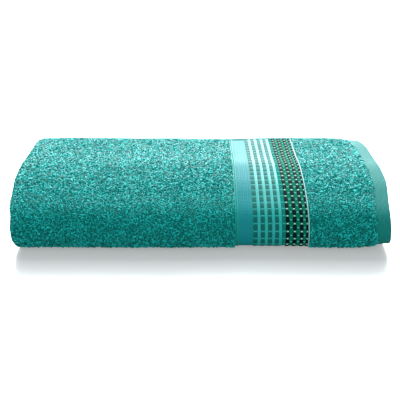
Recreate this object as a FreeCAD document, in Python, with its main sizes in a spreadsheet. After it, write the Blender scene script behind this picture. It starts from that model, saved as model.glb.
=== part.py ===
"""A bath towel folded into a flat packet: four layers along its length, then four across its width.

Frame: +Z up, X along the towel's length, Y along its width, origin at the centre of the underside.
The big rounded fold faces -Y, the short ends with their borders face +X, the free side hems face +Y.

The cloth is first folded along X into a stack of four layers. Layer 1 is the outer one and ends in
end A. Layer 4 joins it round the outer left fold, layer 3 joins layer 4 round the right fold, and
layer 2 joins layer 3 round the inner left fold and ends in end B. The stack is then folded along Y
into four panels: upper_top, upper_inner, lower_inner and lower_bottom. upper_top and lower_bottom
join round the front, upper_inner and lower_inner join inside that round, and lower_inner and
lower_bottom join round the back crease. Every piece is a section of the stack, drawn in a sketch
as x along the stack and depth into it, and either extruded along a flat panel or turned round a fold.
"""
import FreeCAD, Part
import math
import os

import Sketcher

LAYERS = 4          # layers in the stack, and panels across the width
HALF_TURN = 180

SIZES = [
    ("towel_length", 1400, "hem to hem"),
    ("towel_width", 700, "side hem to side hem"),
    ("terry_thick", 3.5, "terry cloth with its loops"),
    ("layer_gap", 0.3, "clearance between one layer of terry and the next"),
    ("flat_thick", 2.2, "flat-woven border"),
    ("hem_thick", 2.8, "turned and sewn hems"),
    ("hem_width", 16, "end hem"),
    ("end_band_width", 59, "terry band between the end hem and the border"),
    ("border_width", 69, "patterned border"),
    ("side_hem_width", 8, "hem along each long side"),
    ("fold_setback", 5, "from the ends of the towel back to the right fold's centre"),
    ("edge_setback", 3, "from the back crease's outer skin back to the free side hems"),
]

doc = FreeCAD.newDocument("bath_towel")
sheet = doc.addObject("Spreadsheet::Sheet", "Sizes")
for row, (alias, size, meaning) in enumerate(SIZES, start=1):
    sheet.set(f"A{row}", meaning)
    sheet.set(f"B{row}", str(size))
    sheet.setAlias(f"B{row}", alias)
doc.recompute()

# Lengths worked out from the sheet, as expressions.
PITCH = "(Sizes.terry_thick + Sizes.layer_gap)"             # from the middle of one layer to the next
SKIN = "(Sizes.layer_gap / 2)"
STACK = f"({LAYERS} * {PITCH})"

# Along X the cloth spends pi * 2.5 pitches in its three folds, and the rest lies flat.
LONG_LAYER = f"((Sizes.towel_length - pi * 2.5 * {PITCH} + 2 * Sizes.fold_setback) / {LAYERS})"
SHORT_LAYER = f"({LONG_LAYER} - Sizes.fold_setback)"
LEFT_CENTRE = f"(2 * {PITCH})"
RIGHT_CENTRE = f"({LEFT_CENTRE} + {SHORT_LAYER})"
TOWEL_END = f"({LEFT_CENTRE} + {LONG_LAYER})"
HEM_START = f"({TOWEL_END} - Sizes.hem_width)"
BAND_START = f"({HEM_START} - Sizes.end_band_width)"
BORDER_START = f"({BAND_START} - Sizes.border_width)"
STACK_LEFT = f"(0 - ({TOWEL_END} + {SKIN}) / 2)"

# Along Y the middle of the stack spends pi * 2.5 stacks in its three folds.
EDGE_REACH = f"({STACK} - Sizes.edge_setback)"              # how far an edge panel outruns a crease panel
CREASE_PANEL = f"((Sizes.towel_width - pi * 2.5 * {STACK} - 2 * {EDGE_REACH}) / {LAYERS})"
EDGE_PANEL = f"({CREASE_PANEL} + {EDGE_REACH})"
TERRY_EDGE = f"({EDGE_PANEL} - Sizes.side_hem_width)"
FRONT_CENTRE = f"(({STACK} - {CREASE_PANEL}) / 2)"           # the packet is centred on y = 0
BACK_CENTRE = f"({FRONT_CENTRE} + {CREASE_PANEL})"

# Heights of the stack's outer face in each panel, and of the folds' axes.
FLOOR_FACE = f"(0 - {SKIN})"
BACK_AXIS = f"({STACK} - {SKIN})"
MIDDLE = f"(2 * {STACK} - {SKIN})"
TOP_FACE = f"(4 * {STACK} - {SKIN})"


def number(expression):
    """The value of an expression on the sheet."""
    return float(sheet.evalExpression(expression))


def bind(sketch, kind, elements, expression, name):
    """Add one dimension to a sketch and tie it to the sheet."""
    index = sketch.addConstraint(Sketcher.Constraint(kind, *elements, number(expression)))
    sketch.renameConstraint(index, name)
    sketch.setExpression(f"Constraints.{name}", expression)


def draw_strip(sketch, start, end, level, thick):
    """A flat stretch of one layer: from start to end along x, centred on level."""
    near = number(f"{level} - {thick} / 2")
    far = number(f"{level} + {thick} / 2")
    corners = [(number(start), near), (number(end), near), (number(end), far), (number(start), far)]
    points = [FreeCAD.Vector(x, depth, 0) for x, depth in corners]
    for side in range(4):
        sketch.addGeometry(Part.LineSegment(points[side], points[(side + 1) % 4]))
    for side in range(4):
        sketch.addConstraint(Sketcher.Constraint("Coincident", side, 2, (side + 1) % 4, 1))
    for side in (0, 2):
        sketch.addConstraint(Sketcher.Constraint("Horizontal", side))
        sketch.addConstraint(Sketcher.Constraint("Vertical", side + 1))
    bind(sketch, "DistanceX", (-1, 1, 0, 1), start, "start")
    bind(sketch, "DistanceX", (-1, 1, 0, 2), end, "end")
    bind(sketch, "DistanceY", (-1, 1, 0, 1), f"{level} - {thick} / 2", "near_face")
    bind(sketch, "DistanceY", (-1, 1, 2, 1), f"{level} + {thick} / 2", "far_face")


def draw_fold(sketch, centre, level, radius, thick, bulges_left):
    """A layer turned back on itself: half a ring, bulging left or right, about its centre."""
    middle = FreeCAD.Vector(number(centre), number(level), 0)
    axis = FreeCAD.Vector(0, 0, 1)
    start = math.pi / 2 if bulges_left else -math.pi / 2
    radii = (f"{radius} + {thick} / 2", f"{radius} - {thick} / 2")
    for size in radii:
        circle = Part.Circle(middle, axis, number(size))
        sketch.addGeometry(Part.ArcOfCircle(circle, start, start + math.pi))
    outer, inner = sketch.Geometry
    sketch.addGeometry(Part.LineSegment(outer.StartPoint, inner.StartPoint))
    sketch.addGeometry(Part.LineSegment(outer.EndPoint, inner.EndPoint))
    for end in (1, 2):
        sketch.addConstraint(Sketcher.Constraint("Coincident", 0, end, end + 1, 1))
        sketch.addConstraint(Sketcher.Constraint("Coincident", 1, end, end + 1, 2))
        sketch.addConstraint(Sketcher.Constraint("Vertical", 0, end, 0, 3))
        sketch.addConstraint(Sketcher.Constraint("Vertical", end + 1))
    sketch.addConstraint(Sketcher.Constraint("Coincident", 0, 3, 1, 3))
    bind(sketch, "DistanceX", (-1, 1, 0, 3), centre, "centre")
    bind(sketch, "DistanceY", (-1, 1, 0, 3), level, "level")
    bind(sketch, "Radius", (0,), radii[0], "outer_radius")
    bind(sketch, "Radius", (1,), radii[1], "inner_radius")


TERRY = "Sizes.terry_thick"
FLAT = "Sizes.flat_thick"
HEM = "Sizes.hem_thick"


def layer_level(layer):
    """Depth of the middle of a layer below the stack's outer face."""
    return f"(({layer} - 0.5) * {PITCH})"


# The stack's pieces: name, how it is drawn, its own thickness, and its place in the section.
SECTIONS = [
    ("layer_1", draw_strip, TERRY, (LEFT_CENTRE, BORDER_START, layer_level(1))),
    ("border_a", draw_strip, FLAT, (BORDER_START, BAND_START, layer_level(1))),
    ("end_band_a", draw_strip, TERRY, (BAND_START, HEM_START, layer_level(1))),
    ("hem_a", draw_strip, HEM, (HEM_START, TOWEL_END, layer_level(1))),
    ("layer_2", draw_strip, TERRY, (LEFT_CENTRE, BORDER_START, layer_level(2))),
    ("border_b", draw_strip, FLAT, (BORDER_START, BAND_START, layer_level(2))),
    ("end_band_b", draw_strip, TERRY, (BAND_START, HEM_START, layer_level(2))),
    ("hem_b", draw_strip, HEM, (HEM_START, TOWEL_END, layer_level(2))),
    ("layer_3", draw_strip, TERRY, (LEFT_CENTRE, RIGHT_CENTRE, layer_level(3))),
    ("layer_4", draw_strip, TERRY, (LEFT_CENTRE, RIGHT_CENTRE, layer_level(4))),
    ("left_fold_outer", draw_fold, TERRY, (LEFT_CENTRE, f"(2 * {PITCH})", f"(1.5 * {PITCH})")),
    ("left_fold_inner", draw_fold, TERRY, (LEFT_CENTRE, f"(2 * {PITCH})", f"(0.5 * {PITCH})")),
    ("right_fold", draw_fold, TERRY, (RIGHT_CENTRE, f"(3 * {PITCH})", f"(0.5 * {PITCH})")),
]


def section_sketch(name, section, thick, face, faces_up, start):
    """One piece's section, standing across the towel at y = start, its depth measured from face."""
    piece, draw, own_thick, place = section
    sketch = doc.addObject("Sketcher::SketchObject", f"{name}_section")
    turn = -90 if faces_up else 90
    sketch.Placement = FreeCAD.Placement(FreeCAD.Vector(), FreeCAD.Rotation(FreeCAD.Vector(1, 0, 0), turn))
    sketch.setExpression("Placement.Base.x", STACK_LEFT)
    sketch.setExpression("Placement.Base.y", start)
    sketch.setExpression("Placement.Base.z", face)
    if draw is draw_strip:
        draw_strip(sketch, *place, thick or own_thick)
    else:
        draw_fold(sketch, *place, thick or own_thick, piece.startswith("left"))
    return sketch


def flat_piece(name, section, face, faces_up, start, length, thick=None):
    """A stretch of a flat panel, from y = start backwards."""
    solid = doc.addObject("Part::Extrusion", name)
    solid.Base = section_sketch(name, section, thick, face, faces_up, start)
    solid.DirMode = "Custom"
    solid.Dir = FreeCAD.Vector(0, 1, 0)
    solid.Solid = True
    solid.setExpression("LengthFwd", length)
    return solid


def turned_piece(name, section, face, faces_up, start, axis_height):
    """A stretch of a rounded fold: half a turn about a line along X."""
    solid = doc.addObject("Part::Revolution", name)
    solid.Source = section_sketch(name, section, None, face, faces_up, start)
    solid.Axis = FreeCAD.Vector(1, 0, 0)
    solid.Angle = HALF_TURN
    solid.Solid = True
    solid.setExpression("Base.y", start)
    solid.setExpression("Base.z", axis_height)
    return solid


# The panels and folds of the packet, each under the part of the packet that it belongs to.
FLAT_PANELS = {
    "upper": [("top", TOP_FACE, True, TERRY_EDGE), ("inner", MIDDLE, False, TERRY_EDGE)],
    "lower": [("bottom", FLOOR_FACE, False, CREASE_PANEL), ("inner", MIDDLE, True, CREASE_PANEL)],
}
ROUND_FOLDS = {
    "front": [
        ("outer", TOP_FACE, True, FRONT_CENTRE, MIDDLE),
        ("inner", MIDDLE, False, FRONT_CENTRE, MIDDLE),
    ],
    "back": [("crease", FLOOR_FACE, False, BACK_CENTRE, BACK_AXIS)],
}
SIDE_HEMS = {"side_hem_top": (TOP_FACE, True), "side_hem_inner": (MIDDLE, False)}

nodes = {}
for section in SECTIONS:
    for half, panels in FLAT_PANELS.items():
        nodes[f"{half}_{section[0]}"] = [
            flat_piece(f"{half}_{panel}_{section[0]}", section, face, faces_up, FRONT_CENTRE, length)
            for panel, face, faces_up, length in panels
        ]
    for fold, turns in ROUND_FOLDS.items():
        nodes[f"{fold}_{section[0]}"] = [
            turned_piece(f"{fold}_{turn}_{section[0]}", section, face, faces_up, start, axis_height)
            for turn, face, faces_up, start, axis_height in turns
        ]
for hem, (face, faces_up) in SIDE_HEMS.items():
    nodes[hem] = [
        flat_piece(
            f"{hem}_{section[0]}", section, face, faces_up,
            f"{FRONT_CENTRE} + {TERRY_EDGE}", "Sizes.side_hem_width", HEM,
        )
        for section in SECTIONS
    ]

for name, solids in nodes.items():
    group = doc.addObject("Part::Compound", f"{name}_piece")
    group.Links = solids
    group.Label = name
doc.recompute()

for item in doc.Objects:
    if "Invalid" in item.State or "Error" in item.State:
        raise RuntimeError(f"{item.Label} did not build: {item.State}")

os.makedirs("parts", exist_ok=True)
for name, solids in nodes.items():
    shape = doc.getObject(f"{name}_piece").Shape
    if shape.isNull() or not shape.isValid() or len(shape.Solids) != len(solids):
        raise RuntimeError(f"{name} is not {len(solids)} valid solids")
    shape.exportStep(f"parts/{name}.step")

everything = Part.Compound([doc.getObject(f"{name}_piece").Shape for name in nodes])
box = everything.optimalBoundingBox(False, False)
print(f"{len(nodes)} nodes, {len(everything.Solids)} solids, {everything.Volume / 1e3:.0f} cm3")
print(f"x {box.XMin:.2f} {box.XMax:.2f}  y {box.YMin:.2f} {box.YMax:.2f}  z {box.ZMin:.2f} {box.ZMax:.2f}")
print(f"front fold axis: y {number(FRONT_CENTRE):.4f}, z {number(MIDDLE):.4f}")
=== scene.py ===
# %% [markdown]
# # A folded bath towel
#
# A bath towel is one woven cloth. Most of it is terry, whose extra warp yarns stand up as loops.
# Near each end the loops stop and the weave turns flat: that is the border, where coloured yarns
# float over the ground in columns and rows. All four edges are turned and sewn as flat hems.
#
# The lesson builds the towel as a mill does. Every piece is made flat, in the cloth's own
# coordinates, and one pair of functions then folds it into the packet, four layers along its
# length and four across its width. The frame, made beforehand, holds the packet's sizes and the
# hinge line of its last fold, so the cloth is always fitted to the frame and never the other way.

# %% Load the frame
import math

import bmesh
import bpy
import numpy as np
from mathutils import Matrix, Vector


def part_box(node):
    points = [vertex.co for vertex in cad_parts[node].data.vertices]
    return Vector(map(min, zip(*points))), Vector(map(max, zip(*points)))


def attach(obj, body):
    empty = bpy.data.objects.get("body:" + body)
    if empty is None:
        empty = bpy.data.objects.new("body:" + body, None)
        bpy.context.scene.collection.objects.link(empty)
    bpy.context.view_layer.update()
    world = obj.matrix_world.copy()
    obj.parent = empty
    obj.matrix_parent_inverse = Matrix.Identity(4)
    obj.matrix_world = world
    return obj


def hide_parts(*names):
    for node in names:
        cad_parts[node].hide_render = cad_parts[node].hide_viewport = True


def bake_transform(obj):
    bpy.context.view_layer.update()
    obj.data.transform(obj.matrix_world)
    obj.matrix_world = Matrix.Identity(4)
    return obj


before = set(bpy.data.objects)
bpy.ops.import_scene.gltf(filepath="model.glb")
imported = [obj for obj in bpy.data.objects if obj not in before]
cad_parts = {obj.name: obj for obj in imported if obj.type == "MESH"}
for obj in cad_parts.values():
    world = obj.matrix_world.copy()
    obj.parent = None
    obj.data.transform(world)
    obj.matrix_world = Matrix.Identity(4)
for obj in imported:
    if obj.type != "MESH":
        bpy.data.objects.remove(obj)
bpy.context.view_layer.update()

# %% [markdown]
# ## Sizes
#
# The cloth's sizes are read back from the frame's own nodes: where the left and right folds turn,
# where the border and the hems begin, and how thick the packet is. Only the finer things, which the
# frame leaves out, get numbers here: yarn, loops, stitches and the border's pattern.

# %% Sizes read from the frame
MM = 0.001
X, Y, Z = 0, 1, 2


def edges(node, axis):
    """The lowest and highest place of a frame node along one axis."""
    low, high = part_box(node)
    return low[axis], high[axis]


LEFT, RIGHT = edges("upper_layer_4", X)      # centres of the left folds and of the right fold
BORDER_X, BAND_X = edges("upper_border_a", X)
HEM_X, END = edges("upper_hem_a", X)
FRONT, BACK = edges("lower_layer_1", Y)      # centres of the front fold and of the back crease
EDGE = edges("side_hem_top", Y)[1]
SIDE_HEM = EDGE - edges("side_hem_top", Y)[0]
TOP = edges("upper_layer_1", Z)[1]

low, high = edges("lower_layer_4", Z)        # two layers of terry, one on the other
PITCH = (TOP - (high - low)) / 14            # the packet is sixteen layers
TERRY = high - low - PITCH
STACK = 4 * PITCH
GAP = (PITCH - TERRY) / 2
MIDDLE = TOP / 2

LONG = END - LEFT
SHORT = RIGHT - LEFT
CREASE_PANEL = BACK - FRONT
EDGE_PANEL = EDGE - FRONT
CLOTH_LENGTH = 2 * (LONG + SHORT) + 2.5 * math.pi * PITCH
CLOTH_WIDTH = 2 * (CREASE_PANEL + EDGE_PANEL) + 2.5 * math.pi * STACK
HEM_WIDE = END - HEM_X
BAND_END = END - BAND_X                      # distances from the towel's end
BORDER_END = END - BORDER_X
print(f"cloth {CLOTH_LENGTH:.3f} x {CLOTH_WIDTH:.3f} m, layer pitch {PITCH / MM:.2f} mm")

# %% [markdown]
# ## Folding
#
# A point of the flat cloth has three coordinates: u along the towel from end A, v across it from
# the side hem that ends on top, and w above the middle of the cloth, on its outer face.
#
# The cloth could be folded by simulation, but a folded towel is a stack of parallel layers that
# bend round half circles, which a formula gives exactly, with no layer through another. The first
# function folds along the length and gives x and the depth in the stack. The second takes the
# depth and folds the whole stack across the width.

# %% Fold along the length
ALONG = np.cumsum(
    [0, LONG, 1.5 * math.pi * PITCH, SHORT, 0.5 * math.pi * PITCH, SHORT, 0.5 * math.pi * PITCH, LONG]
)


def round_turn(centre, depth, radius, side, first, angle):
    """A point on a half ring in the stack: side is where it bulges, first which way it starts."""
    return centre + side * radius * np.sin(angle), depth + first * radius * np.cos(angle)


def fold_along(u, w):
    """Where a point lies in the stack: its x, and its depth below the stack's outer face."""
    stretch = np.clip(np.searchsorted(ALONG, u, side="right") - 1, 0, 6)
    t = u - ALONG[stretch]
    wide, tight = 1.5 * PITCH, 0.5 * PITCH
    places = [
        (END - t, 0.5 * PITCH - w),
        round_turn(LEFT, 2 * PITCH, wide + w, -1, -1, t / wide),
        (LEFT + t, 3.5 * PITCH + w),
        round_turn(RIGHT, 3 * PITCH, tight + w, 1, 1, t / tight),
        (RIGHT - t, 2.5 * PITCH - w),
        round_turn(LEFT, 2 * PITCH, tight - w, -1, 1, t / tight),
        (LEFT + t, 1.5 * PITCH + w),
    ]
    return (
        np.choose(stretch, [x for x, depth in places]),
        np.choose(stretch, [depth for x, depth in places]),
    )


# %% Fold across the width
def across(level):
    """Where each panel and fold begins across the cloth, for a layer whose middle is that deep."""
    outer, crease, inner = math.pi * (2 * STACK - level), math.pi * (STACK - level), math.pi * level
    panel = np.full_like(level, CREASE_PANEL)
    edge = (CLOTH_WIDTH - outer - crease - inner) / 2 - panel
    return np.cumsum([0 * level, edge, outer, panel, crease, panel, inner, edge], axis=0)


def fold_across(v, depth, level):
    """Where a point of the stack lies in the packet: its y and z."""
    starts = across(level)
    panel = np.clip((v[None] >= starts[:7]).sum(0) - 1, 0, 6)
    t = v - np.take_along_axis(starts, panel[None], 0)[0]
    outer = t / (2 * STACK - level)
    crease = t / (STACK - level)
    inner = t / level
    reach = 2 * STACK - depth
    places = [
        (FRONT + starts[1] - t, MIDDLE + reach),
        (FRONT - reach * np.sin(outer), MIDDLE + reach * np.cos(outer)),
        (FRONT + t, depth - GAP),
        (BACK + (STACK - depth) * np.sin(crease), STACK - GAP - (STACK - depth) * np.cos(crease)),
        (BACK - t, MIDDLE - depth),
        (FRONT - depth * np.sin(inner), MIDDLE - depth * np.cos(inner)),
        (FRONT + t, MIDDLE + depth),
    ]
    return (
        np.choose(panel, [y + 0 * t for y, z in places]),
        np.choose(panel, [z + 0 * t for y, z in places]),
    )


# %% [markdown]
# A towel in use isn't as straight as the formula. Its weight squares the foot of the front fold and
# lets the top of it slope, the left end is round like a pillow, and the right end, where only thin
# hems lie on each other, sinks a little and lifts off at its corner. Each of these is a smooth
# bend of the space that the cloth is in, so layers stay clear of each other.

# %% Let the packet settle
SLOPE, SLOPE_FROM, SLOPE_TO = 9.5 * MM, -5 * MM, -75 * MM   # how the top falls towards the front
NOSE_DROP = 7 * MM          # how much more it falls over the front fold
FOOT = 25 * MM              # how far the foot of the front fold is pushed forward
OVERHANG = 9.5 * MM         # how far the left folds of the upper half hang over the lower half's
LEFT_ROUND = 3 * MM         # how far the left end's upper and lower edges draw in
ROUND_FROM = 0.46           # the height, as a share, where the left end is widest
WANDER = 1 * MM             # how much the left folds stray in and out
END_BULGE = 6 * MM          # how far the right end swells at mid-depth
END_SINK = 1.2 * MM         # how far its top sinks, over the thin hems
CORNER_DROOP = 1.6 * MM     # how far the far right corner hangs down
END_LIFT = 3 * MM           # how far the near right corner lifts off the floor
BACK_RISE = 3 * MM          # how far the cloth's edge springs up at the back, and reaches out
RIPPLE = 0.6 * MM           # height of the waves on top
SWAY = 0.6 * MM             # how far the front fold strays forward and back
FLOOR_CLEAR = 0.05 * MM


def ease(t, start=0.0, end=1.0):
    """From 0 at start to 1 at end, with no corner at either."""
    t = np.clip((t - start) / (end - start), 0, 1)
    return t * t * (3 - 2 * t)


def towards_front(y, rise):
    """How far a point falls because the packet slopes, and how far the foot is pushed forward."""
    over_nose = ease(y, FRONT + 16 * MM, FRONT - 28 * MM)
    drop = SLOPE * ease(y, SLOPE_FROM, SLOPE_TO) * rise**2.2 + NOSE_DROP * over_nose * rise**2
    return drop, FOOT * ease(y, FRONT, FRONT - 18 * MM) * (1 - rise) ** 1.6


def at_left(x, y, rise):
    """How far a point near the left end moves along x: rounding, a slight wander, the overhang."""
    edge = np.clip((rise - ROUND_FROM) / (1 - ROUND_FROM), -1, 1) ** 2
    wander = WANDER * np.sin(5.2 * rise * math.pi + y / (70 * MM))
    wander = wander * ease(y, FRONT - 20 * MM, FRONT + 10 * MM)
    fade = 0.3 * ease(y, BACK - 10 * MM, BACK + 15 * MM) + 0.45 * ease(y, FRONT + 30 * MM, FRONT - 15 * MM)
    overhang = OVERHANG * ease(rise, 0.55, 0.92) * (1 - fade)
    return ease(x, LEFT + 60 * MM, LEFT) * (LEFT_ROUND * edge + wander - overhang)


def at_right(x, y, rise):
    """How far a point near the right end moves along x, and how far it sinks."""
    right = ease(x, END - 40 * MM, END)
    swell = ease(y, FRONT - 38 * MM, FRONT + 26 * MM) * ease(y, BACK + 15 * MM, BACK - 30 * MM)
    corner = ease(x, END - 30 * MM, END) * ease(y, BACK - 35 * MM, BACK + 15 * MM)
    lift = END_LIFT * ease(x, END - 34 * MM, END) * ease(y, FRONT + 50 * MM, FRONT - 10 * MM)
    sink = (CORNER_DROOP * corner + END_SINK * right) * rise - lift * (1 - rise)
    return right * END_BULGE * swell * (0.5 + 0.5 * rise), sink


def settle(x, y, z):
    """Bend the folded packet into the shape it takes under its own weight."""
    rise = np.clip(z / TOP, 0, 1)
    drop, push = towards_front(y, rise)
    out_left = at_left(x, y, rise)
    out_right, sink = at_right(x, y, rise)
    spring = BACK_RISE * ease(y, BACK - 70 * MM, BACK + 10 * MM) * rise
    wave = np.sin(x / (41 * MM) + 1.3) * np.cos(y / (33 * MM) + 0.4)
    wave = wave + 0.5 * np.sin(x / (17 * MM) - y / (24 * MM))
    sway = SWAY * np.sin(x / (29 * MM)) * ease(y, FRONT, FRONT - 20 * MM)
    new_z = z - drop - sink + RIPPLE * wave * ease(rise, 0.2, 0.8) + spring
    return x + out_left + out_right, y - push + spring + sway, np.maximum(new_z, FLOOR_CLEAR)


def fold(flat, level=None):
    """Fold flat points (u, v, w), one per row, and give them as rows of x, y, z.

    Where level is given, the lines across the cloth are those of a layer that deep."""
    u, v, w = (flat[:, k].astype(float) for k in range(3))
    x, depth = fold_along(u, w)
    level = fold_along(u, 0 * w)[1] if level is None else level + 0 * u
    y, z = fold_across(v, depth, level)
    return np.stack(settle(x, y, z), axis=1)


corner = fold(np.array([[0, 0, 0], [CLOTH_LENGTH, CLOTH_WIDTH, 0]]))
print("corners of the cloth, folded:", corner.round(4).tolist())

# %% [markdown]
# ## The parts of the packet
#
# The frame opens at the front fold like a book, so each piece of cloth is cut where that matters:
# the upper half and the lower half each ride on their own body, and the cloth of the front fold
# stays where it lies, between the two. The cuts fall on the lines where the round of the fold
# begins, so at rest the pieces meet edge to edge and read as one cloth.

# %% The stretches of cloth across the width
ROWS = {0: 26, 1: 44, 2: 18, 3: 24, 4: 18, 5: 10, 6: 18}    # grid rows in each panel and fold
PARTS = {"upper": (0, 6), "front_outer": (1,), "front_inner": (5,), "lower": (2, 3, 4)}
LOWER, UPPER = "lower_half", "upper_half"
OUTER_REACH = STACK + 0.5 * PITCH
INNER_REACH = 0.3 * MM


def belong(piece, part):
    """Make a piece ride on its half of the packet; a piece of the front fold keeps its place."""
    if part in ("upper", "lower"):
        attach(piece, UPPER if part == "upper" else LOWER)
        return
    reach = INNER_REACH if part == "front_inner" else OUTER_REACH
    start, end = (0, FRONT, MIDDLE - reach), (0, FRONT, MIDDLE + reach)
    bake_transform(piece)


def mesh_from(bm, name):
    """A finished bmesh as a mesh."""
    mesh = bpy.data.meshes.new(name)
    bm.to_mesh(mesh)
    bm.free()
    return mesh


def template(name, mesh):
    """An object that copies can be made of, removed once they are."""
    source = bpy.data.objects.new(name, mesh)
    bpy.context.scene.collection.objects.link(source)
    return source


def finished(name, mesh, *materials):
    """A new smooth object for a finished mesh, with its materials."""
    piece = bpy.data.objects.new(name, mesh)
    bpy.context.scene.collection.objects.link(piece)
    mesh.polygons.foreach_set("use_smooth", [True] * len(mesh.polygons))
    for material in materials:
        mesh.materials.append(material)
    return piece


def fold_mesh(mesh, level=None):
    """Move every vertex of a flat mesh to its place in the packet."""
    flat = np.empty(len(mesh.vertices) * 3)
    mesh.vertices.foreach_get("co", flat)
    mesh.vertices.foreach_set("co", fold(flat.reshape(-1, 3), level).ravel())
    mesh.update()


# %% [markdown]
# ## Weaving a flat piece
#
# A piece of cloth starts as a grid whose columns run across the towel. The grid's lines are moved
# to where the cloth needs them, close together round the folds and wide apart where it lies flat.
# Extruding the grid gives the cloth its thickness, and its UV map keeps each point's place on the
# flat cloth, so that every pattern can be drawn on the cloth before it is folded.

# %% Grids on the flat cloth
def columns(start, end, coarse=8 * MM, fine=11):
    """Grid lines from start to end: even on the flat layers, closer in the three folds."""
    lines = [start]
    for k in range(7):
        low, high = max(start, ALONG[k]), min(end, ALONG[k + 1])
        if high - low > 0.01 * MM:
            count = fine if k % 2 else max(1, round((high - low) / coarse))
            lines += list(np.linspace(low, high, count + 1)[1:])
    return np.array(lines)


def lay_grids(bm, lines, panels, first=0.0, last=CLOTH_WIDTH, lift=0.0, level=None):
    """Add a grid for each panel, with its columns on the lines, its rows along the folds."""
    level = fold_along(lines, 0 * lines)[1] if level is None else level + 0 * lines
    starts = across(level)
    for panel in panels:
        rows = ROWS[panel]
        low = np.maximum(starts[panel], first)
        high = np.minimum(starts[panel + 1], last)
        grid = bmesh.ops.create_grid(bm, x_segments=len(lines) - 1, y_segments=rows, size=0.5)
        for vert in grid["verts"]:
            column = round((vert.co.x + 0.5) * (len(lines) - 1))
            share = round((vert.co.y + 0.5) * rows) / rows
            vert.co = (lines[column], low[column] * (1 - share) + high[column] * share, lift)
    bmesh.ops.remove_doubles(bm, verts=bm.verts[:], dist=0.001 * MM)


SHARP = math.radians(50)    # a cloth's cut edge is shaded sharp


def chart_sides(bm, low, high):
    """Spread the bake map along the cloth: the outer side in its left half, the inner in its right."""
    chart = bm.loops.layers.uv["OFBake"]
    for face in bm.faces:
        side = 0.0 if face.normal.z > -0.5 else 0.5
        for corner in face.loops:
            along = (corner.vert.co.x - low) / (high - low)
            corner[chart].uv.x = 0.005 + 0.49 * along + side


def rim(u, v, thick):
    """How much of its thickness the cloth has at a place: its free edges are rounded."""
    from_edge = min(u, CLOTH_LENGTH - u, v, CLOTH_WIDTH - v) / (0.6 * thick)
    return 0.3 + 0.7 * math.sqrt(1 - (1 - min(max(from_edge, 0), 1)) ** 2)


def weave(name, lines, panels, thick, first=0.0, last=CLOTH_WIDTH, crown=0.0, lift=0.0):
    """A flat slab of cloth over some columns and panels, with its place on the cloth as its UV.

    first and last bound it across the width. crown lifts its middle column, for a rounded cord."""
    bm = bmesh.new()
    lay_grids(bm, lines, panels, first, last, -thick / 2)
    upper = bmesh.ops.extrude_face_region(bm, geom=bm.faces[:])["geom"]
    middle, half = (lines[0] + lines[-1]) / 2, (lines[-1] - lines[0]) / 2
    for vert in upper:
        if isinstance(vert, bmesh.types.BMVert):
            vert.co.z += thick + crown * math.sqrt(max(0.0, 1 - ((vert.co.x - middle) / half) ** 2))
    for vert in bm.verts:
        vert.co.z = lift + vert.co.z * rim(vert.co.x, vert.co.y, thick)
    bmesh.ops.recalc_face_normals(bm, faces=bm.faces[:])
    for edge in bm.edges:
        edge.smooth = edge.calc_face_angle(0) < SHARP
    place = bm.loops.layers.uv.new("cloth")
    chart = bm.loops.layers.uv.new("OFBake")
    near = min(v.co.y for v in bm.verts)
    far = max(v.co.y for v in bm.verts)
    for face in bm.faces:
        for corner in face.loops:
            u, v = corner.vert.co.x, corner.vert.co.y
            corner[place].uv = (min(u, CLOTH_LENGTH - u), v)
            corner[chart].uv.y = 0.01 + 0.98 * (v - near) / (far - near)
    chart_sides(bm, lines[0], lines[-1])
    return mesh_from(bm, name)


# %% [markdown]
# ## Shader maths
#
# Patterns on cloth are arithmetic: a column is a range of u, a row is v modulo the row pitch. This
# small class lets that arithmetic be written as Python expressions on shader sockets.

# %% A socket that takes part in expressions
class Value:
    """A shader socket. Python's operators on it add Math nodes to its material."""

    def __init__(self, finish, socket):
        self.finish = finish
        self.socket = socket

    def math(self, operation, *others):
        """One Math node on this value and the others."""
        inputs = dict(enumerate((self, *others)))
        return self.finish.node("ShaderNodeMath", {"operation": operation}, inputs)

    def __add__(self, other):
        return self.math("ADD", other)

    __radd__ = __add__

    def __mul__(self, other):
        return self.math("MULTIPLY", other)

    __rmul__ = __mul__

    def __sub__(self, other):
        return self.math("SUBTRACT", other)

    def __rsub__(self, other):
        return (self * -1) + other

    def within(self, low, high, soft=0.12):
        """1 between low and high, 0 outside, with edges that are soft wide."""
        up = self.finish.ramp(self, low - soft, low + soft)
        down = self.finish.ramp(self, high - soft, high + soft)
        return up * (1 - down)


class Nodes:
    """A node tree, and one method that adds any node to it."""

    def __init__(self, tree):
        self.tree = tree

    def node(self, kind, settings=None, inputs=None, output=0):
        """Add a node: its settings first, then the values or links of its sockets."""
        node = self.tree.nodes.new(kind)
        for name, value in (settings or {}).items():
            setattr(node, name, value)
        for socket, value in (inputs or {}).items():
            if isinstance(value, Value):
                self.tree.links.new(value.socket, node.inputs[socket])
            else:
                node.inputs[socket].default_value = value
        return Value(self, node.outputs[output]) if node.outputs else node


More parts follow.
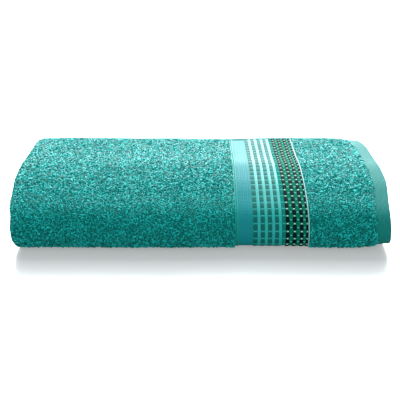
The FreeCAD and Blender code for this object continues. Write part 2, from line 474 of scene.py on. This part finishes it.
class Finish(Nodes):
    """A material: its Principled shader, and the nodes that its pattern needs."""

    def __init__(self, name, **constants):
        self.material = bpy.data.materials.new(name)
        self.material.use_nodes = True
        super().__init__(self.material.node_tree)
        self.shader = self.tree.nodes["Principled BSDF"]
        for socket, value in constants.items():
            self.shader.inputs[socket.replace("_", " ")].default_value = value

    def ramp(self, value, low, high, to_low=0.0, to_high=1.0):
        """A smooth step of value from low to high."""
        inputs = {0: value, 1: low, 2: high, 3: to_low, 4: to_high}
        return self.node("ShaderNodeMapRange", {"interpolation_type": "SMOOTHSTEP"}, inputs)

    def mix(self, share, first, second):
        """A colour between two colours."""
        return self.node("ShaderNodeMix", {"data_type": "RGBA"}, {0: share, 6: first, 7: second}, 2)

    def noise(self, place, scale, detail=2.0):
        """Noise from 0 to 1 at a place."""
        return self.node("ShaderNodeTexNoise", {}, {"Vector": place, "Scale": scale, "Detail": detail})

    def cloth(self):
        """The place on the flat cloth in millimetres: from the towel's end, from its side, and both."""
        place = self.node("ShaderNodeUVMap", {"uv_map": "cloth"})
        inputs = {0: place, 1: (1 / MM, 1 / MM, 0)}
        scaled = self.node("ShaderNodeVectorMath", {"operation": "MULTIPLY"}, inputs)
        along = self.node("ShaderNodeSeparateXYZ", {}, {0: scaled}, X)
        over = self.node("ShaderNodeSeparateXYZ", {}, {0: scaled}, Y)
        return along, over, scaled

    def set(self, socket, value):
        """Drive a socket of the shader."""
        self.tree.links.new(value.socket, self.shader.inputs[socket])

    def bump(self, height, strength, distance):
        """Drive the shader's normal with a height."""
        inputs = {"Height": height, "Strength": strength, "Distance": distance}
        self.set("Normal", self.node("ShaderNodeBump", {}, inputs))


# %% [markdown]
# ## Terry
#
# The ground of terry is hardly seen: it is the floor between the loops, painted darker in its
# hollows as shade. The loops are cotton, dull at the root and a little glossy at the tip, where
# the yarn is combed. Each loop is real geometry, and two of its attributes colour it: a random
# shade of the teal, and how high up the loop a point is. Its root is painted darker, as the shade
# of the other loops, and its tip lighter and a little whiter, as a painted sheen.

# %% Colours, linear
# deep teal: also painted shade, at the loops' roots and in the hollows of the terry ground
DEEP_TEAL = (0.0003, 0.085, 0.076, 1)
TEAL = (0.0006, 0.165, 0.148, 1)
# light teal, a little whitish: the loops' tips, partly a painted sheen
LIGHT_TEAL = (0.009, 0.44, 0.415, 1)
AQUA = (0.0006, 0.16, 0.178, 1)
# light aqua: the aqua band's raised bricks, a painted highlight
PAINTED_BRICK_HIGHLIGHT = (0.010, 0.175, 0.198, 1)
PALE_AQUA = (0.12, 0.60, 0.58, 1)
DARK_TEAL = (0.0004, 0.085, 0.07, 1)
GREEN = (0.0003, 0.105, 0.055, 1)
INK = (0.001, 0.006, 0.010, 1)
CHALK = (0.36, 0.54, 0.51, 1)
PLAIN_TEAL = (0.0008, 0.13, 0.095, 1)
PALE_TEAL = (0.004, 0.17, 0.162, 1)
RIB_DARK = (0.001, 0.12, 0.10, 1)
RIB_LIGHT = (0.002, 0.19, 0.165, 1)
HEM_DARK = (0.0007, 0.105, 0.094, 1)
HEM_LIGHT = (0.0014, 0.17, 0.155, 1)
SHEEN_TINT = (0.75, 0.95, 1.0, 1)

# %% Terry ground
ground = Finish("terry_ground", Roughness=0.95, Specular_IOR_Level=0.02)
_, _, both = ground.cloth()
relief_and_shade = ground.noise(both, 0.9, 3.0)
# painted shade: the ground is darker where its bump is low, in its hollows
ground.set("Base Color", ground.mix(ground.ramp(relief_and_shade, 0.35, 0.7), DEEP_TEAL, TEAL))
ground.bump(relief_and_shade, 0.9, 1.2 * MM)

# %% Terry loops
pile = Finish("terry_loops", Specular_IOR_Level=0.11)
shade = pile.node("ShaderNodeAttribute", {"attribute_name": "shade"}, output=2)
height = pile.node("ShaderNodeAttribute", {"attribute_name": "height"}, output=2)
tip_tone_and_sheen = pile.mix(pile.ramp(shade, 0.1, 1.0), TEAL, LIGHT_TEAL)
tip = pile.ramp(height, 0.1, 0.75)
# painted shade and sheen: each loop is darker towards its root, lighter and whiter at its tip
pile.set("Base Color", pile.mix(tip, DEEP_TEAL, tip_tone_and_sheen))
pile.set("Roughness", 1 - tip * 0.65)

# %% [markdown]
# ## The border and the hems
#
# The border's ground is a fine flat weave in several colours side by side. From the towel's end
# inwards: a green ground under the black floats, a plain teal stripe, a lighter ground under the
# dark floats, the wide aqua band, and a narrow ribbed stripe where the terry starts again.

# %% Where the border's parts lie, in millimetres from the towel's end
LINE_AT, LINE_WIDE = 75.6, 1.2
BLACK_AT = (77.3, 82.4, 88.8, 95.3)
PALE_AT = (79.8, 85.6, 92.1)
DARK_AT = (105.05, 111.6, 118.3, 125.05)
RIB_AT = (101.9, 108.2, 114.9, 121.6)
FINE_RIB_AT = (141.3, 143.2)
PLAIN = (97.1, 100.6)
AQUA_BAND = (127.6, 140.4)
BORDER_TO = BORDER_END / MM
ROW = 8.3                   # pitch of the pattern across the towel

# %% Border ground
border = Finish("border_weave", Specular_IOR_Level=0.04)
along, over, both = border.cloth()
pick = (along * (1 / 0.55)).math("SINE")                      # fine weft picks across the band
warp = (over * (2 * math.pi / 1.4)).math("SINE")
brick = ((along * (math.pi / 2.1)).math("SINE") * (over * (math.pi / 1.9)).math("SINE")).math("ABSOLUTE")
# painted highlight: the raised bricks of the aqua band are lighter and whiter
band_colour = border.mix(border.ramp(brick, 0.15, 0.8), AQUA, PAINTED_BRICK_HIGHLIGHT)
colour = border.mix(along.within(LINE_AT, PLAIN[0]), TEAL, GREEN)
colour = border.mix(along.within(*PLAIN), colour, PLAIN_TEAL)
colour = border.mix(along.within(PLAIN[1], AQUA_BAND[0]), colour, PALE_TEAL)
colour = border.mix(along.within(*AQUA_BAND), colour, band_colour)
rib = (along * (2 * math.pi / 1.3)).math("SINE")
ribbed = border.mix(border.ramp(rib, -0.4, 0.7), RIB_DARK, RIB_LIGHT)
colour = border.mix(along.within(AQUA_BAND[1], BORDER_TO + 2), colour, ribbed)
fleck = border.noise(both, 1.6, 2.0)
border.set("Base Color", border.mix(border.ramp(fleck, 0.3, 0.75) * 0.35, colour, DEEP_TEAL))
satin = along.within(PLAIN[1], AQUA_BAND[1])
border.set("Roughness", border.ramp(fleck, 0.2, 0.8, 0.9, 0.98) - satin * 0.42)
border.bump(brick * 0.7 + warp * 0.2 + pick * 0.15, 0.5, 0.35 * MM)


# %% Yarns of the border, the hems and the stitches
def yarn(name, colour, dark, roughness=0.5, specular=0.12, sheen=0.02):
    """Twisted yarn: fine strokes of a darker shade along the cloth."""
    gloss = {"Roughness": roughness, "Specular_IOR_Level": specular}
    finish = Finish(name, Sheen_Weight=sheen, Sheen_Roughness=0.35, **gloss)
    place = finish.node("ShaderNodeTexCoord", {}, output=3)
    strokes = finish.noise(place, 900.0, 2.0)
    finish.set("Base Color", finish.mix(finish.ramp(strokes, 0.4, 0.75) * 0.6, colour, dark))
    finish.bump(strokes, 0.4, 0.2 * MM)
    return finish.material


black_yarn = yarn("black_yarn", INK, (0.0, 0.002, 0.004, 1), 0.75, 0.04, 0.0)
dark_yarn = yarn("dark_yarn", DARK_TEAL, DEEP_TEAL, 0.65, 0.06, 0.0)
chalk_yarn = yarn("chalk_yarn", CHALK, PALE_AQUA, 0.5)
aqua_yarn = yarn("aqua_yarn", (0.012, 0.26, 0.25, 1), (0.004, 0.18, 0.172, 1))
pale_yarn = yarn("pale_yarn", (0.03, 0.36, 0.28, 1), (0.012, 0.25, 0.20, 1))
cord_yarn = yarn("cord_yarn", (0.20, 0.42, 0.40, 1), (0.09, 0.32, 0.30, 1))
rib_yarn = yarn("rib_yarn", (0.003, 0.22, 0.19, 1), (0.001, 0.13, 0.115, 1))
thread = yarn("sewing_thread", (0.003, 0.25, 0.225, 1), DEEP_TEAL)

sheen = {"Sheen_Weight": 0.03, "Sheen_Roughness": 0.4, "Sheen_Tint": SHEEN_TINT}
hem = Finish("hem_weave", Roughness=0.7, Specular_IOR_Level=0.12, **sheen)
along, over, both = hem.cloth()
ribs = (along * (2 * math.pi / 1.15)).math("SINE")
cross = (over * (2 * math.pi / 0.9)).math("SINE")
slub = hem.noise(both, 0.7, 3.0)
tone = hem.ramp(slub, 0.3, 0.7) * 0.5 + hem.ramp(ribs, -1.0, 1.0) * 0.5
hem.set("Base Color", hem.mix(tone, HEM_DARK, HEM_LIGHT))
hem.bump(ribs * 0.6 + cross * 0.3 + slub, 0.6, 0.35 * MM)

# %% [markdown]
# ## The cloth
#
# The towel is one cloth, but its finish changes along it: terry, flat border, terry again, and the
# hem. Each stretch is a piece of its own in each part of the packet. The narrow cloth inside the
# front fold is one piece with all the finishes, because it is only a thumb wide.

# %% Stretches along the cloth
TERRY_GROUND = 2.8 * MM
FLAT_THICK = 2.2 * MM
HEM_THICK = 2.8 * MM
EDGE_COLUMNS = np.array([0, 0.25, 0.7, 1.3]) * MM       # close to the free edge, for its round
hem_lines = np.concatenate([EDGE_COLUMNS, np.linspace(2 * MM, HEM_WIDE, 8)])
FAR_BORDER, FAR_BAND = CLOTH_LENGTH - BORDER_END, CLOTH_LENGTH - BAND_END
STRETCHES = {
    "hem_a": (hem_lines, HEM_THICK, hem.material),
    "end_band_a": (columns(HEM_WIDE, BAND_END, 4 * MM), TERRY_GROUND, ground.material),
    "border_a": (columns(BAND_END, BORDER_END, 2 * MM), FLAT_THICK, border.material),
    "field": (columns(BORDER_END, FAR_BORDER), TERRY_GROUND, ground.material),
    "border_b": (columns(FAR_BORDER, FAR_BAND), FLAT_THICK, border.material),
    "end_band_b": (columns(FAR_BAND, CLOTH_LENGTH - HEM_WIDE), TERRY_GROUND, ground.material),
    "hem_b": (CLOTH_LENGTH - hem_lines[::-1], HEM_THICK, hem.material),
}
LAYERS = ("layer_1", "layer_2", "layer_3", "layer_4", "left_fold_outer", "left_fold_inner", "right_fold")


def width_of(panels, level, first=0.0, last=CLOTH_WIDTH):
    """How wide the cloth of these panels is, flat."""
    starts = across(np.array([level]))[:, 0]
    return sum(min(starts[k + 1], last) - max(starts[k], first) for k in panels)


def nodes_for(part, stretch):
    """The frame's nodes that a stretch of cloth stands for."""
    prefixes = {"upper": ["upper"], "lower": ["lower", "back"], "front_outer": ["front"]}[part]
    names = LAYERS if stretch == "field" else (stretch,)
    return [f"{prefix}_{name}" for prefix in prefixes for name in names]


# %% Upper half, lower half and the outside of the front fold
cloth = {}
for part in ("upper", "lower", "front_outer"):
    first, last = (SIDE_HEM, CLOTH_WIDTH - SIDE_HEM) if part == "upper" else (0.0, CLOTH_WIDTH)
    for stretch, (lines, thick, material) in STRETCHES.items():
        at_end = stretch.startswith("hem")
        bounds = (0.0, CLOTH_WIDTH) if at_end else (first, last)
        mesh = weave(f"{part}_{stretch}", lines, PARTS[part], thick, *bounds)
        fold_mesh(mesh)
        piece = finished(mesh.name, mesh, material)
        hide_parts(*nodes_for(part, stretch))
        belong(piece, part)
        wide = max(width_of(PARTS[part], level, *bounds) for level in (0.5 * PITCH, 3.5 * PITCH))
        depth = 2 * PITCH if stretch == "field" else fold_along(lines[:1], np.zeros(1))[1][0]
        long = lines[-1] - lines[0]
        cloth[piece.name] = (piece, (wide, long), width_of(PARTS[part], depth, *bounds) * long)
print(len(cloth), "stretches of cloth")

# %% The inside of the front fold, in one piece
bm = bmesh.new()
inner_materials = [ground.material, border.material, hem.material]
for stretch, (lines, thick, material) in STRETCHES.items():
    strip = weave("strip", lines, PARTS["front_inner"], thick)
    before = len(bm.faces)
    bm.from_mesh(strip)
    bm.faces.ensure_lookup_table()
    for face in bm.faces[before:]:
        face.material_index = inner_materials.index(material)
    bpy.data.meshes.remove(strip)
chart_sides(bm, 0, CLOTH_LENGTH)
mesh = mesh_from(bm, "front_inner_cloth")
fold_mesh(mesh)
piece = finished("front_inner_cloth", mesh, *inner_materials)
belong(piece, "front_inner")
inner_width = [width_of(PARTS["front_inner"], level) for level in (3.5 * PITCH, 2 * PITCH)]
cloth[piece.name] = (piece, (inner_width[0], CLOTH_LENGTH), inner_width[1] * CLOTH_LENGTH)

# %% Side hems, on the towel's long edges
SIDE_EDGES = {"top": (0, 0.0, SIDE_HEM), "inner": (6, CLOTH_WIDTH - SIDE_HEM, CLOTH_WIDTH)}
side_lines = columns(HEM_WIDE, CLOTH_LENGTH - HEM_WIDE, 6 * MM)
long_hems = []
for name, (panel, first, last) in SIDE_EDGES.items():
    mesh = weave(f"long_hem_{name}", side_lines, (panel,), HEM_THICK, first, last)
    fold_mesh(mesh)
    piece = finished(mesh.name, mesh, hem.material)
    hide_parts(f"side_hem_{name}")
    belong(piece, "upper")
    long_hems.append(piece)

# %% [markdown]
# ## The pile
#
# Terry's loops stand a millimetre and a half high, close together and leaning every way, and they
# are what makes a towel look soft. A bump map can't give their fuzzy outline, so they are real
# loops. Hair could do it too, but hair isn't a mesh and would be lost on export. So one small arch
# of yarn is spun, Geometry Nodes scatter copies of it over the flat cloth, and the copies are folded
# with the cloth. Only the face that turns outwards gets loops: the others lie against each other.

# %% One loop of terry
YARN = 0.48 * MM
ARCH = 1.15 * MM
LEAN = 0.6                  # how far a loop may lean, in radians
LOOP_FOOT = 0.95 * MM       # how far above the cloth's middle the loops begin


def terry_loop():
    """An arch of yarn over the origin, with how high each point is as an attribute."""
    bm = bmesh.new()
    bmesh.ops.create_circle(bm, cap_ends=True, segments=3, radius=YARN)
    bmesh.ops.translate(bm, verts=bm.verts[:], vec=(ARCH, 0, 0))
    ring = bm.verts[:] + bm.edges[:] + bm.faces[:]
    bmesh.ops.spin(bm, geom=ring, cent=(0, 0, 0), axis=(0, 1, 0), angle=-math.pi, steps=4)
    bmesh.ops.recalc_face_normals(bm, faces=bm.faces[:])
    layer = bm.verts.layers.float.new("height")
    for vert in bm.verts:
        vert[layer] = vert.co.z / (ARCH + YARN)
    return mesh_from(bm, "terry_loop")


loop_object = template("terry_loop", terry_loop())
LOOP_FACES = len(loop_object.data.polygons)
LOOP_CORNERS = len(loop_object.data.loops)
print("one loop has", LOOP_FACES, "faces")


# %% Scattering loops over flat cloth
def geometry_nodes(name):
    """An empty geometry node group, its nodes, and the geometry that comes in."""
    group = bpy.data.node_groups.new(name, "GeometryNodeTree")
    group.interface.new_socket("In", in_out="INPUT", socket_type="NodeSocketGeometry")
    group.interface.new_socket("Out", in_out="OUTPUT", socket_type="NodeSocketGeometry")
    nodes = Nodes(group)
    return group, nodes, nodes.node("NodeGroupInput")


def made_by(bm, group, name):
    """The mesh that a geometry node group makes of a bmesh."""
    start = mesh_from(bm, "start")
    carrier = template("carrier", start)
    carrier.modifiers.new("nodes", "NODES").node_group = group
    evaluated = carrier.evaluated_get(bpy.context.evaluated_depsgraph_get())
    mesh = bpy.data.meshes.new_from_object(evaluated)
    mesh.name = name
    bpy.data.objects.remove(carrier)
    bpy.data.meshes.remove(start)
    return mesh


def scatter_tree(apart, seed):
    """Geometry nodes that cover a surface with loops no closer than apart."""
    group, nodes, surface = geometry_nodes("loops")
    spread = {"Mesh": surface, "Distance Min": apart, "Density Max": 3 / apart**2, "Seed": seed}
    points = nodes.node("GeometryNodeDistributePointsOnFaces", {"distribute_method": "POISSON"}, spread)
    lean = {0: (-LEAN, -LEAN, 0), 1: (LEAN, LEAN, 2 * math.pi), 8: seed + 1}
    turn = nodes.node("FunctionNodeRandomValue", {"data_type": "FLOAT_VECTOR"}, lean)
    size = nodes.node("FunctionNodeRandomValue", {"data_type": "FLOAT"}, {2: 0.75, 3: 1.35, 8: seed + 2}, 1)
    shade = nodes.node("FunctionNodeRandomValue", {"data_type": "FLOAT"}, {2: 0.0, 3: 1.0, 8: seed + 3}, 1)
    loop = nodes.node("GeometryNodeObjectInfo", {}, {"Object": loop_object}, 4)
    placed = {"Points": points, "Instance": loop, "Rotation": turn, "Scale": size}
    copies = nodes.node("GeometryNodeInstanceOnPoints", {}, placed)
    stored = {"Geometry": copies, "Name": "shade", "Value": shade}
    setting = {"data_type": "FLOAT", "domain": "INSTANCE"}
    shaded = nodes.node("GeometryNodeStoreNamedAttribute", setting, stored)
    real = nodes.node("GeometryNodeRealizeInstances", {}, {"Geometry": shaded})
    nodes.node("NodeGroupOutput", {}, {0: real})
    return group


def chart_cells(mesh, corners, faces):
    """Give each of a mesh's equal items a small square of the bake map, its faces side by side."""
    count = len(mesh.loops) // corners
    across_map = math.ceil(math.sqrt(count))
    item = np.arange(len(mesh.loops)) // corners
    sizes = np.empty(len(mesh.polygons), int)
    mesh.polygons.foreach_get("loop_total", sizes)
    face = np.repeat(np.arange(len(mesh.polygons)) % faces, sizes)
    first = np.repeat(np.cumsum(sizes) - sizes, sizes)
    turn = (np.arange(len(mesh.loops)) - first) / np.repeat(sizes, sizes) * 2 * math.pi
    side = math.ceil(math.sqrt(faces))
    u = (item % across_map + (face % side + 0.5 + 0.4 * np.cos(turn)) / side) / across_map
    v = (item // across_map + (face // side + 0.5 + 0.4 * np.sin(turn)) / side) / across_map
    chart = mesh.uv_layers.get("OFBake") or mesh.uv_layers.new(name="OFBake")
    chart.data.foreach_set("uv", np.stack([u, v], axis=1).ravel())


def cover(name, part, lines, panels, apart, seed, first=0.0, last=CLOTH_WIDTH, level=None):
    """Pile: loops over some columns and panels, folded, and riding on its half if it has one."""
    bm = bmesh.new()
    lay_grids(bm, lines, panels, first, last, LOOP_FOOT, level)
    group = scatter_tree(apart, seed)
    mesh = made_by(bm, group, name)
    bpy.data.node_groups.remove(group)
    chart_cells(mesh, LOOP_CORNERS, LOOP_FACES)
    fold_mesh(mesh, level)
    mesh.materials.clear()
    piece = finished(name, mesh, pile.material)
    belong(piece, part)
    print(f"{name}: {len(mesh.polygons) // LOOP_FACES} loops")
    return piece


# %% Pile on the faces that turn outwards
CLOSE, OPEN, BELOW, CREASE_PILE = 1.2 * MM, 1.6 * MM, 1.9 * MM, 1.35 * MM
HALF_WAY = (BORDER_END + LONG) / 2
FIELDS = {
    "band": columns(HEM_WIDE - 3 * MM, BAND_END - 0.6 * MM),
    "field_right": columns(BORDER_END + 0.4 * MM, HALF_WAY),
    "field_left": columns(HALF_WAY, LONG),
}
BAND_FIELDS = {"band": FIELDS["band"], "field": columns(BORDER_END + 0.4 * MM, LONG)}
TOP_EDGE, INNER_EDGE = SIDE_HEM + 0.5 * MM, CLOTH_WIDTH - SIDE_HEM - 0.5 * MM
PILES = [
    ("top", "upper", (0,), CLOSE, FIELDS),
    ("front", "front_outer", (1,), CLOSE, FIELDS),
    ("bottom", "lower", (2,), BELOW, BAND_FIELDS),
    ("crease", "lower", (3,), CREASE_PILE, BAND_FIELDS),
    ("lower_inner", "lower", (4,), OPEN, FIELDS),
    ("upper_inner", "upper", (6,), OPEN, FIELDS),
]
piles = []
seed = 10
for place, part, panels, apart, stretches in PILES:
    for stretch, lines in stretches.items():
        seed += 10
        name = f"{place}_pile_{stretch}"
        piles.append((part, cover(name, part, lines, panels, apart, seed, TOP_EDGE, INNER_EDGE)))
FOLD_INSET = 9 * MM         # the cloth's edge steps back here, from the outermost layer to the next
fold_lines = columns(LONG, ALONG[2], fine=16)
edges_in = (TOP_EDGE + FOLD_INSET, INNER_EDGE - FOLD_INSET)
for place, part, panels in (
    ("top", "upper", (0, 6)),
    ("front", "front_outer", (1,)),
    ("inside", "front_inner", (5,)),
    ("bottom", "lower", (2, 3, 4)),
):
    seed += 10
    name = f"{place}_pile_fold"
    piles.append((part, cover(name, part, fold_lines, panels, CLOSE, seed, *edges_in, 2 * PITCH)))
bpy.data.objects.remove(loop_object)
print(sum(len(piece.data.polygons) for part, piece in piles), "faces of pile")

# %% [markdown]
# ## The border's pattern
#
# The border's yarns float over several picks at a time, and each float is a small pillow of yarn,
# thick in the middle and held down at its ends. The columns of dark floats run across the towel
# at one pitch, so they line up in rows, with short light yarns between. They are real pillows on
# the flat cloth, folded with it, because they catch the light one by one.

# %% Pillows of yarn
SURFACE = FLAT_THICK / 2
# each: material, places along the towel, half sizes along, across and up, share of a row's pitch
FLOATS = [
    (black_yarn, BLACK_AT[1:], (1.85, 3.3, 0.5), 0.5),
    (black_yarn, BLACK_AT[:1], (1.15, 3.3, 0.45), 0.5),
    (chalk_yarn, BLACK_AT[1:], (0.9, 0.6, 0.5), 0.0),
    (chalk_yarn, BLACK_AT[:1], (0.55, 0.55, 0.45), 0.0),
    (pale_yarn, PALE_AT, (0.95, 0.75, 0.45), 0.5),
    (dark_yarn, DARK_AT, (2.05, 3.35, 0.4), 0.5),
    (aqua_yarn, DARK_AT, (1.9, 0.6, 0.4), 0.0),
    (aqua_yarn, (98.6,), (1.5, 0.55, 0.3), 0.0),
]
SQUARENESS = 0.6            # under 1, a pillow fills its box more than a ball does
STRIP_ONE = across(np.array([0.5 * PITCH]))[:, 0]


def yarn_pillow():
    """A ball squared off towards a box, one unit in half size."""
    bm = bmesh.new()
    bmesh.ops.create_uvsphere(bm, u_segments=10, v_segments=6, radius=1)
    for vert in bm.verts:
        vert.co = [math.copysign(abs(c) ** SQUARENESS, c) for c in vert.co]
    return mesh_from(bm, "yarn_pillow")


def copy_tree(source):
    """Geometry nodes that put a copy of source on each vertex, scaled by the vertex's half sizes."""
    group, nodes, points = geometry_nodes("copies")
    half = nodes.node("GeometryNodeInputNamedAttribute", {"data_type": "FLOAT_VECTOR"}, {"Name": "half"})
    one = nodes.node("GeometryNodeObjectInfo", {}, {"Object": source}, 4)
    placed = {"Points": points, "Instance": one, "Scale": half}
    copies = nodes.node("GeometryNodeInstanceOnPoints", {}, placed)
    real = nodes.node("GeometryNodeRealizeInstances", {}, {"Geometry": copies})
    nodes.node("NodeGroupOutput", {}, {0: real})
    return group


def panel_at(v):
    """The panel or fold of the outermost strip that v lies in."""
    return min(int(np.searchsorted(STRIP_ONE, v, side="right")) - 1, 6)


def pillow_pieces(name, places, *materials, slot="woven_border"):
    """One piece for each part of the packet, from places of (u, v, w, half sizes, material)."""
    source = template("yarn_pillow", yarn_pillow())
    faces, corners = len(source.data.polygons), len(source.data.loops)
    group = copy_tree(source)
    by_part = {}
    for part, panels in PARTS.items():
        here = [place for place in places if panel_at(place[1] * MM) in panels]
        if not here:
            continue
        bm = bmesh.new()
        layer = bm.verts.layers.float_vector.new("half")
        for u, v, w, half, index in here:
            bm.verts.new((u * MM, v * MM, w))[layer] = [h * MM for h in half]
        mesh = made_by(bm, group, f"{part}_{name}")
        chart_cells(mesh, corners, faces)
        fold_mesh(mesh)
        mesh.materials.clear()
        piece = finished(mesh.name, mesh, *materials)
        mesh.polygons.foreach_set("material_index", np.repeat([place[4] for place in here], faces))
        belong(piece, part)
        by_part[part] = piece
    bpy.data.objects.remove(source)
    return by_part


# %% The floats, row by row
FIRST_ROW = 3.5
rows = int((CLOTH_WIDTH / MM - 4) // ROW)
float_yarns = list(dict.fromkeys(entry[0] for entry in FLOATS))
places = []
for material, at, half, share in FLOATS:
    for row in range(rows):
        v = FIRST_ROW + (row + share) * ROW
        for u in at:
            places.append((u, v, SURFACE, half, float_yarns.index(material)))
floats = pillow_pieces("floats", places, *float_yarns)
print(len(places), "floats")


# %% Raised ribs and the cord at the border's edge
CORD_BASE = 0.3 * MM        # thickness of a cord at its edges, where its crown begins


def rib_pieces(name, at, wide, crown, material):
    """Cords that run across the towel, one piece for each part of the packet."""
    by_part = {}
    for part, panels in PARTS.items():
        bm = bmesh.new()
        first, last = (SIDE_HEM, CLOTH_WIDTH - SIDE_HEM) if part == "upper" else (0, CLOTH_WIDTH)
        for u in at:
            lines = np.linspace(u - wide / 2, u + wide / 2, 6) * MM
            strip = weave("rib", lines, panels, CORD_BASE, first, last, crown, SURFACE)
            bm.from_mesh(strip)
            bpy.data.meshes.remove(strip)
        chart_sides(bm, (min(at) - wide) * MM, (max(at) + wide) * MM)
        mesh = mesh_from(bm, f"{part}_{name}")
        fold_mesh(mesh)
        piece = finished(mesh.name, mesh, material)
        belong(piece, part)
        by_part[part] = piece
    return by_part


ribs = rib_pieces("ribs", RIB_AT, 2.7, 0.3 * MM, aqua_yarn)
cord_line = rib_pieces("cord_line", (LINE_AT,), LINE_WIDE, 0.9 * MM, cord_yarn)
fine_ribs = rib_pieces("fine_ribs", FINE_RIB_AT, 1.2, 0.5 * MM, rib_yarn)

# %% [markdown]
# ## Sewing
#
# A hem is the cloth's edge, turned twice and sewn down with a straight stitch close to the fold.
# Each stitch is a short dash of thread that sinks at both ends.

# %% Stitches along the hems
STITCH = 3.0                # from one stitch to the next, in millimetres
OVER_HALF = (0.28, 1.25, 0.3)       # half sizes of a stitch that runs across the towel
ALONG_HALF = (1.25, 0.28, 0.3)
END_SEAM, SIDE_SEAM = 2.2, 1.5      # from the hem's inner fold to its stitches
hem_face = HEM_THICK / 2
stitches = []
for v in np.arange(STITCH, CLOTH_WIDTH / MM - 3, STITCH):
    stitches.append((HEM_WIDE / MM - END_SEAM, v, hem_face, OVER_HALF, 0))
for v in (SIDE_HEM / MM - SIDE_SEAM, (CLOTH_WIDTH - SIDE_HEM) / MM + SIDE_SEAM):
    for u in np.arange(HEM_WIDE / MM + 2, LONG / MM, STITCH):
        stitches.append((u, v, hem_face, ALONG_HALF, 0))
sewing = pillow_pieces("stitches", stitches, thread, slot="flat_hem")
print(len(stitches), "stitches")

# %% What lies on each sheet
# what lies on a sheet is listed for the fields, and for the border, hem and cloth of the front fold;
# nothing here uses the lists
RAISED = (floats, ribs, cord_line, fine_ribs)
LIES_ON = {
    "front_outer_border_a": RAISED,
    "front_outer_hem_a": (sewing,),
    "front_inner_cloth": (*RAISED, sewing),
}
for name, (piece, flat, area) in cloth.items():
    part = next(part for part in PARTS if name.startswith(part))
    on_it = [kind[part] for kind in LIES_ON.get(name, ())]
    if name.endswith(("field", "inner_cloth")):
        on_it += [pile_piece for owner, pile_piece in piles if owner == part]
    if name == "upper_field":
        on_it += long_hems
    min(area, flat[0] * flat[1])

# %% [markdown]
# ## Studio
#
# A white sweep lit mostly from behind and above, as goods are: the top of the packet catches a pale
# sheen, and the front stays deep in colour. The floor is glossy, so the packet stands on a faint
# reflection of itself, and it glows a little, which keeps the shadow under the packet pale.

# %% Floor
floor_bm = bmesh.new()
bmesh.ops.create_grid(floor_bm, x_segments=1, y_segments=1, size=20)
glow = {"Emission_Color": (0.97, 0.99, 1, 1), "Emission_Strength": 0.37}
floor_finish = Finish("white_floor", Base_Color=(0.16, 0.164, 0.167, 1), Roughness=0.22, **glow)
finished("floor", mesh_from(floor_bm, "floor"), floor_finish.material)

# %% World and lights
world = bpy.data.worlds.new("studio")
world.use_nodes = True
background = world.node_tree.nodes["Background"]
background.inputs["Color"].default_value = (1, 1, 1, 1)
background.inputs["Strength"].default_value = 0.5
bpy.context.scene.world = world
bpy.context.scene.view_settings.view_transform = "Standard"


def softbox(name, place, aim, size, power, colour=(1, 1, 1)):
    """A square area light at a place, turned to its aim."""
    light = bpy.data.lights.new(name, "AREA")
    light.size = size
    light.energy = power
    light.color = colour
    lamp = bpy.data.objects.new(name, light)
    lamp.location = place
    lamp.rotation_euler = (Vector(aim) - Vector(place)).to_track_quat("-Z", "Y").to_euler()
    bpy.context.scene.collection.objects.link(lamp)


softbox("overhead", (0, 1.5, 2.4), (0, 0.8, 0), 4.2, 50)
softbox("behind", (0, 2.7, 1.5), (0, 0.5, 0), 3.4, 610, (0.88, 0.97, 1))
softbox("fill", (0, -1.7, 1.3), (0, 0, 0.03), 1.8, 33)

# %% Camera
CAMERA_AT = (0.0, -0.772, 0.278)
CAMERA_PITCH = 18.7
LENS = 70
camera = bpy.data.objects.new("camera", bpy.data.cameras.new("camera"))
camera.data.lens = LENS
camera.data.sensor_width = 36
camera.location = CAMERA_AT
camera.rotation_euler = (math.radians(90 - CAMERA_PITCH), 0, 0)
bpy.context.scene.collection.objects.link(camera)
bpy.context.scene.camera = camera
